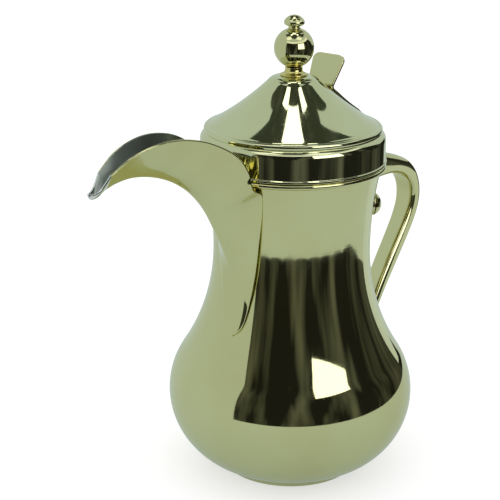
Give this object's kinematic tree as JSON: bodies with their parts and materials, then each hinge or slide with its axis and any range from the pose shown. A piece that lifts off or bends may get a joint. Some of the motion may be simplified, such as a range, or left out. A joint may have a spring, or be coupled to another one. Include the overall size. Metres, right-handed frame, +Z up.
{
  "type": "coffee pot",
  "caption": "Pear-shaped metal coffee pot with an open crescent beak, strap handle, and a hinged conical lid with a ball finial and thumb lever.",
  "frame": {"origin": "centre of the pot's foot, on the surface it stands on", "axes": "+Z up along the pot's axis, -X towards the spout, +X towards the handle and the lid's hinge"},
  "size_m": [0.2844, 0.15, 0.2794],
  "materials": {
    "polished_gold": "mirror-polished pale gold plating",
    "bright_steel": "plain turned steel",
    "silver_tip": "bright silver plating"
  },
  "bodies": {
    "pot": {"base_plate": "polished_gold", "body_shell": "polished_gold", "rim_ring": "polished_gold", "spout": "polished_gold", "spout_tip": "silver_tip", "handle": "polished_gold", "handle_foot": "polished_gold", "foot_rivets": "polished_gold", "foot_washers": "bright_steel", "neck_saddle": "polished_gold", "neck_rivets": "polished_gold", "neck_washers": "bright_steel", "hinge_bracket": "polished_gold", "hinge_pin": "bright_steel"},
    "lid": {"lid_shell": "polished_gold", "lid_liner": "bright_steel", "lid_lever": "polished_gold", "lever_rivets": "polished_gold", "finial_collar": "polished_gold", "finial_ball": "polished_gold", "finial_button": "polished_gold", "finial_stud": "bright_steel", "finial_washer": "bright_steel", "finial_nut": "bright_steel"}
  },
  "joints": [
    {"name": "lid_hinge", "type": "hinge", "parent": "pot", "child": "lid", "pos_m": [0.062, 0, 0.194], "axis": [0, 1, 0], "range_deg": [0, 95]}
  ]
}
